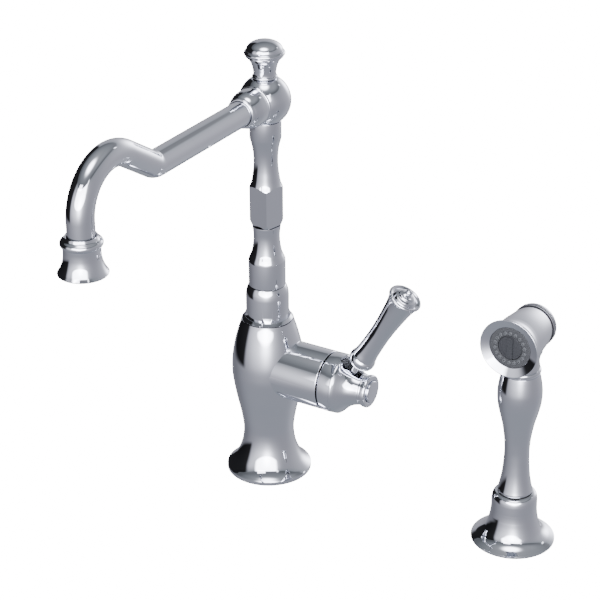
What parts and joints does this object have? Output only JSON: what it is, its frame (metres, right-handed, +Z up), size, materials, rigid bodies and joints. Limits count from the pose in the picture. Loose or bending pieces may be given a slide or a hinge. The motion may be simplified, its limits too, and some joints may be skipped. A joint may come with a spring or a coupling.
{
  "type": "side spray kitchen faucet",
  "caption": "Deck-mounted kitchen faucet with vase-shaped body, side lever barrel, swivelling gooseneck spout under a turned finial, and a separate side spray in its own holder",
  "frame": {"origin": "centre of the faucet's deck hole, on the deck plane under the body flange", "axes": "+Z up out of the deck; the spout at rest points to -Y; the lever barrel and the side spray lie toward +X"},
  "size_m": [0.2476, 0.2503, 0.3852],
  "materials": {
    "chrome": "polished chrome plate on brass",
    "brass": "turned brass",
    "steel": "stainless steel",
    "copper": "drawn copper tube",
    "rubber": "black rubber",
    "grey": "grey moulded plastic",
    "dark": "dark grey moulded plastic",
    "nylon": "off-white moulded plastic"
  },
  "bodies": {
    "faucet_base": {"body_shell": "chrome", "base_gasket": "rubber", "mounting_shank": "brass", "deck_washer_rubber": "rubber", "deck_washer_steel": "steel", "shank_nut": "brass", "hot_inlet": "copper", "cold_inlet": "copper", "spray_outlet": "copper", "cartridge_body": "nylon", "cartridge_nut": "brass", "column_collar": "chrome", "column_lower": "chrome", "column_upper": "chrome", "column_tube": "brass", "swivel_spigot": "brass", "seal_ring": "rubber", "spray_holder": "chrome", "holder_gasket": "rubber", "holder_shank": "brass", "holder_guide": "rubber", "holder_washer": "rubber", "holder_nut": "brass"},
    "spout": {"ball_hub": "chrome", "spout_collar": "chrome", "spout_tube": "chrome", "spout_nozzle": "chrome", "aerator_housing": "chrome", "aerator_insert": "dark", "finial": "chrome"},
    "handle": {"stem_carrier": "nylon", "handle_ring": "chrome", "handle_bell": "chrome", "end_ring": "chrome", "end_button": "chrome"},
    "lever": {"cartridge_stem": "steel", "lever_hub": "chrome", "hub_screw": "steel", "lever_base": "chrome", "lever_grip": "chrome", "lever_rosette": "chrome"},
    "spray_coupling": {"hose_coupling": "brass", "hose_ferrule": "steel"},
    "handset": {"spray_handle": "chrome", "check_valve": "nylon", "spray_neck_ring": "chrome", "spray_head": "chrome", "spray_face_plate": "grey", "spray_face_insert": "dark", "spray_rear_ring": "chrome"},
    "button": {"spray_button": "chrome", "valve_plunger": "steel"}
  },
  "joints": [
    {"name": "spout_swing", "type": "hinge", "parent": "faucet_base", "child": "spout", "pos_m": [0, 0, 0.27], "axis": [0, 0, 1], "continuous": true},
    {"name": "handle_turn", "type": "hinge", "parent": "faucet_base", "child": "handle", "pos_m": [0.05, 0, 0.0826], "axis": [1, 0, 0], "range_deg": [-45, 45]},
    {"name": "lever_tilt", "type": "hinge", "parent": "handle", "child": "lever", "pos_m": [0.038, 0, 0.0826], "axis": [0, -1, 0], "range_deg": [0, 20]},
    {"name": "spray_lift", "type": "slide", "parent": "faucet_base", "child": "spray_coupling", "axis": [0, 0, 1], "range_m": [0, 0.06]},
    {"name": "spray_turn", "type": "hinge", "parent": "spray_coupling", "child": "handset", "pos_m": [0.19, 0.004, 0.03], "axis": [0, 0, 1], "continuous": true},
    {"name": "spray_press", "type": "slide", "parent": "handset", "child": "button", "axis": [0, -1, 0], "range_m": [0, 0.0035], "stiffness_N_per_m": 600, "springref_m": -0.004}
  ]
}
